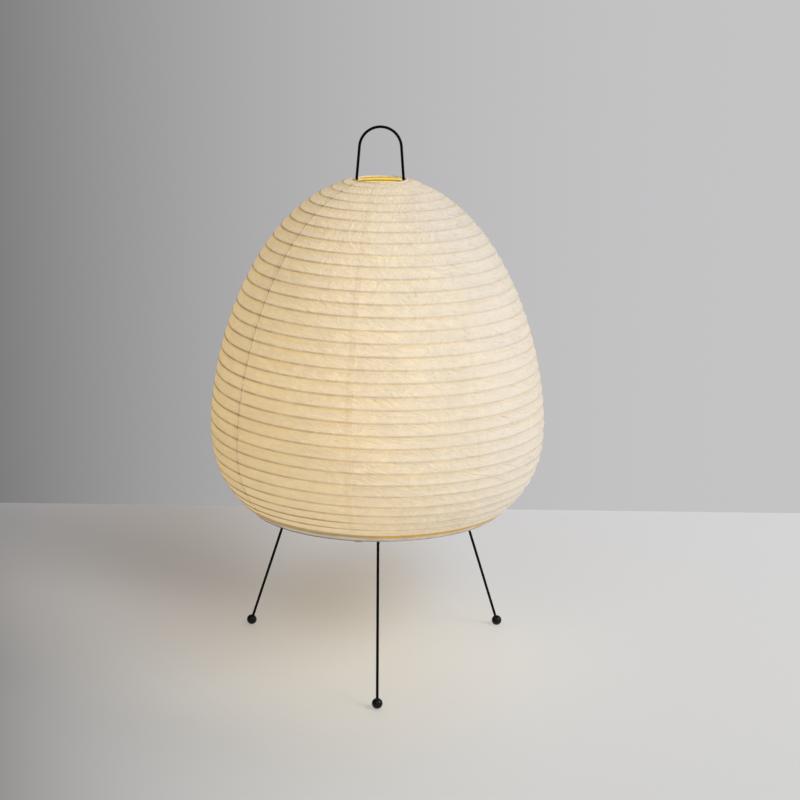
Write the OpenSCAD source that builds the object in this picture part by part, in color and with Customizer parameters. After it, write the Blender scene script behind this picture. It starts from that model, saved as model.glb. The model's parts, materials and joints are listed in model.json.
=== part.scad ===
// Standing paper lantern: an egg shaped paper shade on one spiral rib, stretched over a wire loop
// that is also the carrying handle, on three wire legs that end in balls.
// Millimetres. The floor is z = 0, the lantern's axis is the Z axis and the front leg lies on -Y.

/* [Shade] */
// Largest diameter of the shade, over its ridges
shade_d = 350; // [344:1:356]
// Height of the shade's widest level above the floor
wide_level = 258; // [254:1:262]
// Height of the crown curve above the widest level
crown_height = 256.8; // [253:0.1:260]
// How slowly the crown falls away at its top, 2 is an ellipse
crown_peak = 1.72; // [1.66:0.01:1.8]
// How full the crown's flanks are, 2 is an ellipse
crown_flank = 2.17; // [2.1:0.01:2.25]
// Depth of the base curve below the widest level
base_depth = 122.5; // [118:0.1:127]
// How full the base curve is, 2 is an ellipse
base_fullness = 2.38; // [2.3:0.01:2.46]
// Turn of the seam nearest the front, away from the front leg
seam_turn = -11; // [-20:1:-6]
// Thickness of the paper
paper_t = 0.4; // [0.3:0.05:0.5]
// Depth to which the paper sinks between two turns of the rib
pleat_depth = 1.1; // [0.8:0.1:1.4]

/* [Rib and rings] */
// Diameter of the spiral rib
rib_d = 1.4; // [1.2:0.1:1.6]
// Distance between two turns of the rib, measured along the paper
rib_pitch = 12.88; // [12.6:0.01:13.1]
// How much closer the last turn lies than the first
rib_tighten = 2.35; // [1.8:0.05:3]
// Number of turns from the rim to the hem
rib_turns = 32; // [30:1:33]
// Diameter of the top ring, over the middle of its wire
top_ring_d = 54; // [53:0.5:56]
// Diameter of the wire of both rings
ring_wire_d = 1.6; // [1.4:0.1:1.8]
// Thickness of the paper wrapped round the rings
wrap_t = 0.3; // [0.2:0.05:0.35]
// Width of the doubled hem over the bottom ring
hem_width = 13.5; // [11:0.5:16]

/* [Stand] */
// Diameter of the wire of legs and stretcher
wire_d = 2.8; // [2.6:0.1:3]
// Radius of the circle that the feet stand on
foot_circle = 158.6; // [150:0.1:166]
// Lean of the legs from upright
leg_lean = 19.4; // [18:0.1:20.5]
// Diameter of a foot ball
foot_d = 11; // [10:0.5:13]
// Height of the small flat under a foot ball
foot_flat = 0.2; // [0.1:0.05:0.4]
// Height of the arms above the bottom ring
arm_rise = 11.1; // [9:0.1:14]
// Bend radius of a leg's elbow
elbow_r = 12; // [9:0.5:16]
// Wire diameter of a ring hook
hook_d = 2.2; // [1.8:0.1:2.4]
// Bend radius of a ring hook, where it leaves the arm
hook_bend_r = 4; // [3:0.5:4.5]
// Distance between the stretcher's two uprights at the hub
stretcher_foot = 100; // [92:1:110]
// Bend radius at the foot of the stretcher
stretcher_bend_r = 10; // [7:0.5:14]
// Width of the stretcher's step under the top ring
step_width = 4.4; // [4.4:0.1:5]
// Bend radius of that step
step_r = 2; // [1.8:0.05:2.05]
// Radius of the handle's arch, to the middle of its wire
arch_r = 21.4; // [19:0.1:22]
// Height of the handle's top above the top ring
handle_rise = 55.2; // [48:0.2:64]

/* [Hub] */
// Diameter of the hub
hub_d = 36; // [33:1:42]
// Height of the hub
hub_h = 12; // [11:0.5:16]
// Radius at which the wires end inside the hub
wire_stop_r = 9; // [8.5:0.5:10]
// Diameter of the grub screws
grub_d = 3; // [2.5:0.1:3.2]
// Radius at which the grub screws press on the wires
grub_r = 13; // [12:0.5:14]
// Outer diameter of the hollow nipple
nipple_d = 10; // [9.6:0.1:10.4]
// Bore of the nipple for the cable
nipple_bore = 7; // [6:0.1:7.4]
// Width across the flats of the lock nut
nut_flats = 14; // [13:0.5:17]
// Thickness of the lock nut
nut_t = 3.5; // [3:0.1:5]
// Diameter of the washer
washer_d = 20; // [18:0.5:24]
// Thickness of the washer
washer_t = 1.2; // [1:0.1:1.6]

/* [Lamp holder] */
// Outer diameter of the holder's cap
holder_d = 40; // [39.4:0.2:44]
// Height of the holder's cap
holder_cap_h = 20; // [19:0.5:22]
// Wall of the holder's cap and body
holder_wall = 2; // [1.8:0.1:2.2]
// Height of the screw shell
socket_depth = 27; // [24:0.5:28]
// Wall of the screw shell
shell_t = 0.45; // [0.4:0.05:0.5]
// Wall of the core's cup round the screw shell
cup_wall = 1.4; // [1:0.1:1.6]
// Diameter of the terminal screws
terminal_d = 3; // [2.5:0.1:3.4]

/* [Bulb] */
// Diameter of the bulb's screw cap
bulb_cap_d = 26; // [25.8:0.05:26.2]
// Length of the bulb's screw cap
bulb_cap_h = 21; // [19:0.5:23]
// Diameter of the bulb's globe
bulb_d = 60; // [56:1:64]
// Length of the bulb from its tip to its top
bulb_length = 108; // [102:1:114]
// Wall of the bulb's diffuser
globe_wall = 1.5; // [1:0.1:2]

/* [Hidden] */
$fn = 64;

// Clearances
running = 0.05;       // round a wire or thread in its hole
thread_gap = 0.06;    // between the bulb's cap and the screw shell
rest_gap = 0.3;       // between a piece that lifts off and its seat
glue_gap = 0.05;      // between a ring's wire and the paper round it
rib_gap = 0.3;        // between the rib and the paper over it
edge_gap = 0.3;       // between the edges of neighbouring paper pieces
neck_clearance = 0.45; // between the top hem and the stretcher's wires inside it
overshoot = 1;        // what a cut runs past a face
bend_swell = 0.04;    // what a wire gains in diameter where it is bent
run_overlap = 0.1;    // what a straight run reaches into a bend
rim_chamfer = 1;      // width of the chamfer on turned and moulded rims

// Colours
paper_colour = "antiquewhite";
hem_colour = "ivory";
bamboo_colour = "burlywood";
black_colour = [0.08, 0.08, 0.08];
steel_colour = "silver";
brass_colour = "goldenrod";
holder_colour = "whitesmoke";
core_colour = "gainsboro";
bulb_colour = "white";

// The shade's outline: two curves that meet at the widest level, listed from the top pole down
function crown_point(a) = [
    shade_d / 2 * pow(cos(a), 2 / crown_flank),
    wide_level + crown_height * pow(sin(a), 2 / crown_peak)
];
function base_point(a) = [
    shade_d / 2 * pow(cos(a), 2 / base_fullness),
    wide_level - base_depth * pow(sin(a), 2 / base_fullness)
];
base_reach = 80;
outline = concat(
    [for (a = [90 : -1 : 0]) crown_point(a)],
    [for (a = [1 : base_reach]) base_point(a)]
);
outline_steps = [for (i = [1 : len(outline) - 1]) norm(outline[i] - outline[i - 1])];
outline_arc = [
    for (i = 0, s = 0; i < len(outline); s = s + (i < len(outline_steps) ? outline_steps[i] : 0), i = i + 1) s
];
radius_by_arc = [for (i = [0 : len(outline) - 1]) [outline_arc[i], outline[i].x]];
level_by_arc = [for (i = [0 : len(outline) - 1]) [outline_arc[i], outline[i].y]];
crown_arc_by_radius = [for (i = [0 : 90]) [outline[i].x, outline_arc[i]]];

// A point on the outline at the arc length s from the top pole, sunk by depth into the shade
normal_reach = 2;
function outline_point(s) = [lookup(s, radius_by_arc), lookup(s, level_by_arc)];
function outline_normal(s) =
    let (along = outline_point(s + normal_reach) - outline_point(s - normal_reach))
    [-along.y, along.x] / norm(along);
function sunk_point(s, depth) = outline_point(s) - outline_normal(s) * depth;

// The top ring lies on the outline, with its hem round it, and the paper starts beside the hem
top_ring_r = top_ring_d / 2;
ring_arc = lookup(top_ring_r, crown_arc_by_radius);
top_ring_level = outline_point(ring_arc).y;
hem_r = ring_wire_d / 2 + glue_gap + wrap_t;
paper_start = ring_arc + hem_r + edge_gap;

// The rib winds down the outline and draws closer near the base; turn 0 starts at the front, at the rim
tighten_power = 7;
function rib_arc(turn) =
    paper_start + rib_pitch * turn
        - rib_tighten * rib_turns / tighten_power * pow(turn / rib_turns, tighten_power);
lead_in = 0.4;  // turns without a rib below the rim
lead_out = 0.2; // turns without a rib above the hem
pleat_slope = atan2(pleat_depth, rib_pitch / 2);
rib_depth = paper_t + (rib_d / 2 + rib_gap) / cos(pleat_slope);
rib_steps = 24;
rib_sides = 4;
paper_end = rib_arc(rib_turns);

// The hem runs on from the paper's edge to the bottom ring
hem_t = 2 * paper_t;
hem_start = paper_end + edge_gap;
hem_end = paper_end + hem_width;
bottom_ring_place = sunk_point(hem_end, hem_t / 2);
bottom_ring_r = bottom_ring_place.x;
bottom_ring_level = bottom_ring_place.y;

// The gores
gore_count = 8;
gore_angle = 360 / gore_count;
edge_flat = 1.5; // least stretch of paper between an edge and the nearest fold
function gore_turn(i) = seam_turn + gore_angle * i;

// Legs and hooks, in the plane of the axis and the leg: distance from the axis, then height
foot_level = foot_d / 2 - foot_flat;
leg_azimuths = [-90, 30, 150];
arm_level = bottom_ring_level + arm_rise;
elbow_radius = foot_circle - (arm_level - foot_level) * tan(leg_lean);
hook_level = bottom_ring_level - hem_r - rest_gap - hook_d / 2;
hook_radius = bottom_ring_r - hem_r - rest_gap - hook_d / 2;
hook_tip = bottom_ring_r + hem_r + hook_d / 2;
hook_seat_r = hem_r + rest_gap + hook_d / 2; // bends the hook evenly round the hem's ring
hook_root = elbow_radius - 2 * elbow_r;

// Stretcher: the wires inside the ring lean in to the arch, and step out under the ring
arch_level = top_ring_level + handle_rise - wire_d / 2 - arch_r;
neck_x = top_ring_r - hem_r - neck_clearance - wire_d / 2;
neck_rise = arch_level - top_ring_level;
neck_lean = atan2(neck_x, neck_rise) - asin(arch_r / norm([neck_x, neck_rise]));
step_level = top_ring_level - hem_r - rest_gap - wire_d / 2;
step_x = neck_x + (top_ring_level - step_level) * tan(neck_lean);
apex_level = top_ring_level + neck_x / tan(neck_lean);

// Hub stack on the axis, from the nut up
hub_bottom = arm_level - hub_h / 2;
hub_top = arm_level + hub_h / 2;
wire_azimuths = concat(leg_azimuths, [0, 180]);
nut_top = hub_bottom - washer_t;
thread_below = 2;
thread_above = 10;
nipple_bottom = nut_top - nut_t - thread_below;
nipple_top = hub_top + thread_above;

// Lamp holder, from the hub's top up
cap_floor = 3;
collar_h = 6;
collar_wall = 3;
body_r = holder_d / 2 - holder_wall - running;
core_r = body_r - holder_wall - running;
core_clearance = 1;
core_bottom = nipple_top + core_clearance;
cap_rim = hub_top + holder_cap_h;
core_floor = 5;
shell_r = bulb_cap_d / 2 + thread_gap;
cup_r = shell_r + shell_t + running;
cup_floor = cap_rim + core_floor;
shell_bottom = cup_floor + running;
shell_top = shell_bottom + socket_depth;
cup_lip = 1;
body_lip = 3;
body_top = shell_top + body_lip;
barrel_r = cup_r + cup_wall + running;
terminal_r = 11.5;
terminal_head_h = 2;

// Bulb, from its tip up
contact_t = 0.5;
contact_rise = 5.5;
tip_level = cup_floor + contact_rise + rest_gap;
tip_r = 4.6;
tip_h = 1.2;
insulator_h = 4.8;
cap_level = tip_level + tip_h + insulator_h;
cap_base = 2;
cap_wall = 0.6;
neck_level = cap_level + bulb_cap_h;
bulb_neck_r = bulb_cap_d / 2 - cap_wall;
globe_r = bulb_d / 2;
globe_level = tip_level + bulb_length - globe_r;
globe_cut = globe_r * 7 / 15;
seam_level = globe_level - globe_cut;
seam_r = sqrt(globe_r * globe_r - globe_cut * globe_cut);

// Bent wire in the XY plane: straight runs, and a round bend at each corner of the path
function unit(v) = v / norm(v);
function turn_at(path, i) =
    let (u = unit(path[i] - path[i - 1]), v = unit(path[i + 1] - path[i]))
    atan2(u.x * v.y - u.y * v.x, u * v);
function trim_at(path, bends, i) =
    (i == 0 || i == len(path) - 1) ? 0 : bends[i] * tan(abs(turn_at(path, i)) / 2);

module straight_run(start, end, d) {
    along = end - start;
    translate([start.x, start.y, 0])
        rotate([0, 0, atan2(along.y, along.x)])
            rotate([0, 90, 0])
                cylinder(h = norm(along), d = d);
}

module round_bend(start, heading, turn, bend_r, d) {
    centre = start + sign(turn) * bend_r * [-heading.y, heading.x];
    spoke = start - centre;
    translate([centre.x, centre.y, 0])
        rotate([0, 0, atan2(spoke.y, spoke.x) + min(turn, 0)])
            rotate_extrude(angle = abs(turn))
                translate([bend_r, 0])
                    circle(d = d + bend_swell);
}

module bent_wire(path, bends, d) {
    last = len(path) - 1;
    for (i = [0 : last - 1]) {
        heading = unit(path[i + 1] - path[i]);
        before = i == 0 ? 0 : trim_at(path, bends, i) - run_overlap;
        after = i == last - 1 ? 0 : trim_at(path, bends, i + 1) - run_overlap;
        straight_run(path[i] + heading * before, path[i + 1] - heading * after, d);
    }
    for (i = [1 : last - 1]) {
        heading = unit(path[i] - path[i - 1]);
        round_bend(path[i] - heading * trim_at(path, bends, i), heading, turn_at(path, i), bends[i], d);
    }
}

// Stands a path drawn as distance and height upright, in the plane at an azimuth
module upright(azimuth) {
    rotate([0, 0, azimuth])
        rotate([90, 0, 0])
            children();
}

module ring(radius, level, d) {
    translate([0, 0, level])
        rotate_extrude()
            translate([radius, 0])
                circle(d = d);
}

// A straight tube that stands on a level, on the axis
module tube(level, h, outer_d, bore_d) {
    translate([0, 0, level])
        difference() {
            cylinder(h = h, d = outer_d);
            translate([0, 0, -overshoot])
                cylinder(h = h + 2 * overshoot, d = bore_d);
        }
}

// Stand
module hub() {
    color(black_colour)
        difference() {
            translate([0, 0, hub_bottom])
                rotate_extrude()
                    polygon([
                        [0, 0], [hub_d / 2 - rim_chamfer, 0], [hub_d / 2, rim_chamfer],
                        [hub_d / 2, hub_h - rim_chamfer], [hub_d / 2 - rim_chamfer, hub_h], [0, hub_h]
                    ]);
            translate([0, 0, hub_bottom - overshoot])
                cylinder(h = hub_h + 2 * overshoot, d = nipple_d + 2 * running);
            for (azimuth = wire_azimuths) {
                upright(azimuth)
                    straight_run(
                        [wire_stop_r - running, arm_level],
                        [hub_d / 2 + overshoot, arm_level],
                        wire_d + running
                    );
                rotate([0, 0, azimuth])
                    translate([grub_r, 0, hub_bottom - overshoot])
                        cylinder(h = hub_h / 2 + overshoot, d = grub_d + running);
            }
        }
}

module grub_screws() {
    sunk = 0.3;
    key_depth = 2;
    key_share = 0.58;
    screw_top = arm_level - wire_d / 2 - running;
    screw_bottom = hub_bottom + sunk;
    color(steel_colour)
        for (azimuth = wire_azimuths)
            rotate([0, 0, azimuth])
                translate([grub_r, 0, 0])
                    difference() {
                        translate([0, 0, screw_bottom])
                            cylinder(h = screw_top - screw_bottom, d = grub_d);
                        translate([0, 0, screw_bottom - overshoot])
                            cylinder(h = overshoot + key_depth, d = grub_d * key_share, $fn = 6);
                    }
}

module nipple() {
    color(steel_colour)
        tube(nipple_bottom, nipple_top - nipple_bottom, nipple_d, nipple_bore);
}

module lock_nut() {
    color(steel_colour)
        translate([0, 0, nut_top - nut_t])
            difference() {
                cylinder(h = nut_t, d = nut_flats / cos(30), $fn = 6);
                translate([0, 0, -overshoot])
                    cylinder(h = nut_t + 2 * overshoot, d = nipple_d + 2 * running);
            }
}

module washer() {
    washer_gap = 0.15;
    color(steel_colour)
        tube(nut_top, washer_t, washer_d, nipple_d + 2 * washer_gap);
}

module leg(azimuth) {
    color(black_colour)
        upright(azimuth) {
            bent_wire(
                [[wire_stop_r, arm_level], [elbow_radius, arm_level], [foot_circle, foot_level]],
                [0, elbow_r, 0],
                wire_d
            );
            bent_wire(
                [
                    [hook_root, arm_level], [hook_radius, arm_level],
                    [hook_radius, hook_level], [hook_tip, hook_level]
                ],
                [0, hook_bend_r, hook_seat_r, 0],
                hook_d
            );
        }
}

module foot(azimuth) {
    color(black_colour)
        rotate([0, 0, azimuth])
            translate([foot_circle, 0, foot_level])
                difference() {
                    sphere(d = foot_d);
                    rotate([0, -leg_lean, 0])
                        translate([0, 0, -running])
                            cylinder(h = foot_d, d = wire_d + running);
                    translate([-foot_d, -foot_d, -foot_level - foot_d])
                        cube([2 * foot_d, 2 * foot_d, foot_d]);
                }
}

module stretcher() {
    half = [
        [wire_stop_r, arm_level], [stretcher_foot / 2, arm_level],
        [step_x + step_width, step_level], [step_x, step_level]
    ];
    bends = [0, stretcher_bend_r, step_r, step_r];
    path = concat(half, [[0, apex_level]], [for (i = [3 : -1 : 0]) [-half[i].x, half[i].y]]);
    color(black_colour)
        upright(0)
            bent_wire(path, concat(bends, [arch_r], [for (i = [3 : -1 : 0]) bends[i]]), wire_d);
}

// Lamp holder
module holder_cap() {
    bore_r = nipple_d / 2 + running;
    collar_r = bore_r + collar_wall;
    color(holder_colour)
        translate([0, 0, hub_top])
            rotate_extrude()
                polygon([
                    [bore_r, 0], [holder_d / 2 - rim_chamfer, 0], [holder_d / 2, rim_chamfer],
                    [holder_d / 2, holder_cap_h], [holder_d / 2 - holder_wall, holder_cap_h],
                    [holder_d / 2 - holder_wall, cap_floor], [collar_r, cap_floor],
                    [collar_r, cap_floor + collar_h], [bore_r, cap_floor + collar_h]
                ]);
}

module holder_body() {
    skirt = core_bottom + core_clearance;
    rim_t = 2.5;
    shoulder_h = 1.5;
    barrel_outer_r = barrel_r + holder_wall;
    color(holder_colour)
        rotate_extrude()
            polygon([
                [core_r + running, skirt], [body_r, skirt], [body_r, cap_rim + running],
                [holder_d / 2, cap_rim + running], [holder_d / 2, cap_rim + rim_t],
                [barrel_outer_r, cap_rim + rim_t + shoulder_h], [barrel_outer_r, body_top - rim_chamfer],
                [barrel_outer_r - rim_chamfer, body_top], [barrel_r, body_top],
                [barrel_r, cap_rim + running], [core_r + running, cap_rim + running]
            ]);
}

module holder_core() {
    block_bottom = core_bottom + terminal_head_h;
    lead_hole_d = 3.5;
    terminal_hole_h = 8;
    color(core_colour)
        difference() {
            rotate_extrude()
                polygon([
                    [0, block_bottom], [core_r, block_bottom], [core_r, cap_rim],
                    [cup_r + cup_wall, cap_rim], [cup_r + cup_wall, shell_top + cup_lip],
                    [cup_r, shell_top + cup_lip], [cup_r, cup_floor], [0, cup_floor]
                ]);
            for (side = [-1, 1])
                translate([0, side * terminal_r, core_bottom])
                    cylinder(h = terminal_hole_h, d = terminal_d + running);
            translate([0, 0, core_bottom])
                cylinder(h = cup_floor, d = lead_hole_d);
        }
}

module screw_shell() {
    color(brass_colour)
        tube(shell_bottom, socket_depth, 2 * (shell_r + shell_t), 2 * shell_r);
}

// A bent strip: it lies on the cup's floor, climbs to the bulb's tip and turns down at its end
module centre_contact() {
    strip_w = 6;
    foot_x = -10;
    climb_x = -3;
    top_x = 4;
    end_x = 6.6;
    end_drop = 1.4;
    color(brass_colour)
        translate([0, strip_w / 2, cup_floor])
            rotate([90, 0, 0])
                linear_extrude(strip_w)
                    polygon([
                        [foot_x, 0], [climb_x, 0], [climb_x + 1, contact_rise - contact_t],
                        [top_x - contact_t / 2, contact_rise - contact_t],
                        [end_x - contact_t, contact_rise - contact_t - end_drop],
                        [end_x, contact_rise - end_drop], [top_x, contact_rise],
                        [climb_x + 1 - contact_t, contact_rise], [climb_x - contact_t, contact_t],
                        [foot_x, contact_t]
                    ]);
}

module terminal_screws() {
    head_d = 5.6;
    slot_w = 0.8;
    slot_depth = 0.8;
    shank_h = 5.5;
    color(steel_colour)
        for (side = [-1, 1])
            translate([0, side * terminal_r, core_bottom])
                difference() {
                    union() {
                        cylinder(h = terminal_head_h, d = head_d);
                        cylinder(h = terminal_head_h + shank_h, d = terminal_d);
                    }
                    translate([-head_d, -slot_w / 2, -overshoot])
                        cube([2 * head_d, slot_w, overshoot + slot_depth]);
                }
}

// Bulb
module bulb_tip() {
    flat_r = 3;
    edge_h = tip_h / 2;
    color(steel_colour)
        translate([0, 0, tip_level])
            rotate_extrude()
                polygon([[0, 0], [flat_r, 0], [tip_r, edge_h], [tip_r, tip_h], [0, tip_h]]);
}

module bulb_insulator() {
    step_in = 1.5;
    color(black_colour)
        translate([0, 0, tip_level + tip_h])
            cylinder(h = insulator_h, r1 = tip_r + 0.4, r2 = bulb_cap_d / 2 - step_in);
}

module bulb_cap() {
    color(steel_colour)
        translate([0, 0, cap_level])
            difference() {
                cylinder(h = bulb_cap_h, d = bulb_cap_d);
                translate([0, 0, cap_base])
                    cylinder(h = bulb_cap_h, r = bulb_neck_r + running);
            }
}

module bulb_body() {
    shoulder = neck_level + running;
    shoulder_w = 1.5;
    flare_steps = 6;
    flare_curve = 0.85;
    flare_h = seam_level - shoulder;
    flare_w = seam_r - bulb_neck_r - shoulder_w;
    plug_bottom = cap_level + cap_base + running;
    color(bulb_colour)
        rotate_extrude()
            polygon(concat(
                [[0, plug_bottom], [bulb_neck_r, plug_bottom], [bulb_neck_r, shoulder]],
                [
                    for (i = [0 : flare_steps])
                        let (f = i / flare_steps)
                        [bulb_neck_r + shoulder_w + flare_w * pow(f, flare_curve), shoulder + flare_h * f]
                ],
                [[0, seam_level]]
            ));
}

module led_board() {
    board_t = 1.2;
    board_gap = 2;
    chip_w = 3;
    chip_h = 0.8;
    board_r = seam_r - globe_wall - board_gap;
    chip_r = board_r * 0.62;
    color("gold")
        translate([0, 0, seam_level]) {
            cylinder(h = board_t, r = board_r);
            for (a = [0 : 45 : 315])
                rotate([0, 0, a])
                    translate([chip_r, -chip_w / 2, board_t])
                        cube([chip_w, chip_w, chip_h]);
        }
}

module bulb_diffuser() {
    color(bulb_colour, 0.8)
        translate([0, 0, globe_level])
            difference() {
                sphere(r = globe_r);
                sphere(r = globe_r - globe_wall);
                translate([-bulb_d, -bulb_d, -bulb_d - globe_cut])
                    cube([2 * bulb_d, 2 * bulb_d, bulb_d]);
            }
}

// Shade
module top_ring() {
    color(steel_colour) ring(top_ring_r, top_ring_level, ring_wire_d);
}

// Paper wrapped all round the top ring's wire
module top_hem() {
    color(hem_colour)
        difference() {
            ring(top_ring_r, top_ring_level, 2 * hem_r);
            ring(top_ring_r, top_ring_level, ring_wire_d + 2 * glue_gap);
        }
}

// One turn of the rib is one step along the paper; a gore's ridges lie where its middle meets the rib,
// and the folds between them lie half a turn on
function on_paper(s) = s > paper_start + edge_flat && s < paper_end - edge_flat;
function gore_edge(i, depth) =
    let (
        offset = (gore_turn(i) + gore_angle / 2) / 360,
        halves = [
            for (h = [-2 : 2 * rib_turns + 1])
                if (on_paper(rib_arc(h / 2 + offset))) h
        ]
    )
    concat(
        [sunk_point(paper_start, depth)],
        [for (h = halves) sunk_point(rib_arc(h / 2 + offset), depth + pleat_depth * abs(h % 2))],
        [sunk_point(paper_end, depth)]
    );

module paper_gore(i) {
    outer = gore_edge(i, 0);
    inner = gore_edge(i, paper_t);
    color(paper_colour)
        rotate([0, 0, gore_turn(i) - 90])
            rotate_extrude(angle = gore_angle)
                polygon(concat(outer, [for (k = [len(inner) - 1 : -1 : 0]) inner[k]]));
}

// The spiral rib: one unbroken tube, with a ring of points at each step of a turn
rib_rings = floor((rib_turns - lead_in - lead_out) * rib_steps);
function rib_turn(j) = lead_in + j / rib_steps;
function rib_azimuth(j) = 360 * rib_turn(j) - 90;
function swing(p, azimuth) = [p.x * cos(azimuth), p.x * sin(azimuth), p.y];
function rib_centre(j) = swing(sunk_point(rib_arc(rib_turn(j)), rib_depth), rib_azimuth(j));
function rib_section(j) =
    let (
        s = rib_arc(rib_turn(j)),
        middle = sunk_point(s, rib_depth),
        out = outline_normal(s),
        along = [out.y, -out.x]
    )
    [
        for (k = [0 : rib_sides - 1])
            let (a = 360 * k / rib_sides)
            swing(middle + rib_d / 2 * (cos(a) * out + sin(a) * along), rib_azimuth(j))
    ];
rib_points = [for (j = [0 : rib_rings]) each rib_section(j)];
function rib_index(j, k) = j * rib_sides + k % rib_sides;
rib_faces = concat(
    [[for (k = [0 : rib_sides - 1]) rib_index(0, k)]],
    [
        for (j = [0 : rib_rings - 1], k = [0 : rib_sides - 1])
            each [
                [rib_index(j, k), rib_index(j + 1, k), rib_index(j + 1, k + 1)],
                [rib_index(j, k), rib_index(j + 1, k + 1), rib_index(j, k + 1)]
            ]
    ],
    [[for (k = [rib_sides - 1 : -1 : 0]) rib_index(rib_rings, k)]]
);
echo(least_gap_between_turns = min([
    for (j = [0 : rib_rings - rib_steps]) norm(rib_centre(j) - rib_centre(j + rib_steps))
]) - rib_d);

module spiral_rib() {
    color(bamboo_colour) polyhedron(rib_points, rib_faces);
}

module bottom_ring() {
    color(steel_colour) ring(bottom_ring_r, bottom_ring_level, ring_wire_d);
}

// A doubled band that follows the outline and is turned round the bottom ring's wire
module bottom_hem() {
    band_steps = 4;
    arcs = [for (i = [0 : band_steps]) hem_start + (hem_end - hem_start) * i / band_steps];
    color(hem_colour)
        difference() {
            union() {
                rotate_extrude()
                    polygon(concat(
                        [for (s = arcs) sunk_point(s, 0)],
                        [for (i = [band_steps : -1 : 0]) sunk_point(arcs[i], hem_t)]
                    ));
                ring(bottom_ring_r, bottom_ring_level, 2 * hem_r);
            }
            ring(bottom_ring_r, bottom_ring_level, ring_wire_d + 2 * glue_gap);
        }
}

hub();
grub_screws();
nipple();
lock_nut();
washer();
leg(leg_azimuths[0]);  // leg_front
leg(leg_azimuths[1]);  // leg_right
leg(leg_azimuths[2]);  // leg_left
foot(leg_azimuths[0]);  // foot_front
foot(leg_azimuths[1]);  // foot_right
foot(leg_azimuths[2]);  // foot_left
stretcher();
holder_cap();
holder_body();
holder_core();
screw_shell();
centre_contact();
terminal_screws();
bulb_tip();
bulb_insulator();
bulb_cap();
bulb_body();
led_board();
bulb_diffuser();
top_ring();
top_hem();
spiral_rib();
paper_gore(0);  // paper_gore_1
paper_gore(1);  // paper_gore_2
paper_gore(2);  // paper_gore_3
paper_gore(3);  // paper_gore_4
paper_gore(4);  // paper_gore_5
paper_gore(5);  // paper_gore_6
paper_gore(6);  // paper_gore_7
paper_gore(7);  // paper_gore_8
bottom_ring();
bottom_hem();
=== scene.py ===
import json
import math
from bisect import bisect_right

import bpy
from mathutils import Matrix, Vector, noise


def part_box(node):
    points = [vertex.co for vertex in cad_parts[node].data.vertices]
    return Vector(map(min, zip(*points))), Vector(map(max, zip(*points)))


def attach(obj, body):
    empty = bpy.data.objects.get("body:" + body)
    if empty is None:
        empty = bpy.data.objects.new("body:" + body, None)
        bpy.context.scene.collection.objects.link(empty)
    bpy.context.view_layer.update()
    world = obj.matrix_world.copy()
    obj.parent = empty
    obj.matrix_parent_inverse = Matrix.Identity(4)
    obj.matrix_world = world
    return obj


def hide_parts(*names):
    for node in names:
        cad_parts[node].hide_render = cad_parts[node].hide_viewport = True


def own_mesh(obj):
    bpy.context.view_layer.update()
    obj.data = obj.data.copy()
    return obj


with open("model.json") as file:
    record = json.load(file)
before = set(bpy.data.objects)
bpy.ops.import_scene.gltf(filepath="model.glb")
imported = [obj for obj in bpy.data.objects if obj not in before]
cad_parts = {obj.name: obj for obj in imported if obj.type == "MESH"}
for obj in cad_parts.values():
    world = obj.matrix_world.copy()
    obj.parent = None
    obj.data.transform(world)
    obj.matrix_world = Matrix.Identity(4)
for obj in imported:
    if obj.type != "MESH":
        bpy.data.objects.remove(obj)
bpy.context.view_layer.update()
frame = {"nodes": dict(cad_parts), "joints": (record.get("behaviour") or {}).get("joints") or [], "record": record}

bpy.ops.object.select_all(action="DESELECT")
mm = 0.001


# Camera: where the photo was taken from, the lamp's front foot straight ahead; turns in degrees
camera = {
    "place": (-0.0329, -2.0247, 0.7975), "heading": -1.59, "pitch": 75.67, "roll": 0.76,
    "lens": 89.59, "sensor": 36, "farClip": 50,
}


def addCamera():
    bpy.ops.object.camera_add(location=camera["place"])
    view = bpy.context.object
    turn = Matrix.Rotation(math.radians(camera["heading"]), 4, "Z")
    tip = Matrix.Rotation(math.radians(camera["pitch"]), 4, "X")
    roll = Matrix.Rotation(math.radians(camera["roll"]), 4, "Z")
    view.matrix_world = Matrix.Translation(camera["place"]) @ turn @ tip @ roll
    view.data.lens = camera["lens"]
    view.data.sensor_width = camera["sensor"]
    view.data.clip_end = camera["farClip"]
    bpy.context.scene.camera = view


addCamera()
print("camera placed")


# Shader maths: a wrapped socket adds Math nodes when it is used in an expression
class Value:
    def __init__(self, graph, socket):
        self.graph = graph
        self.socket = socket

    def math(self, operation, *others):
        return self.graph.node("Math", {"operation": operation}, dict(enumerate((self, *others))))

    def __add__(self, other):
        return self.math("ADD", other)

    __radd__ = __add__

    def __sub__(self, other):
        return self.math("SUBTRACT", other)

    def __rsub__(self, other):
        return self.graph.node("Math", {"operation": "SUBTRACT"}, {0: other, 1: self})

    def __mul__(self, other):
        return self.math("MULTIPLY", other)

    __rmul__ = __mul__

    def __truediv__(self, other):
        return self.math("DIVIDE", other)

    def __pow__(self, other):
        return self.math("POWER", other)

    def __abs__(self):
        return self.math("ABSOLUTE")

    def fade(self, start, end):  # 0 before start, 1 beyond end, whichever of them is the higher
        inputs = {"Value": self, "From Min": min(start, end), "From Max": max(start, end)}
        rise = self.graph.node("MapRange", {"interpolation_type": "SMOOTHSTEP"}, inputs)
        return 1 - rise if start > end else rise


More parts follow.
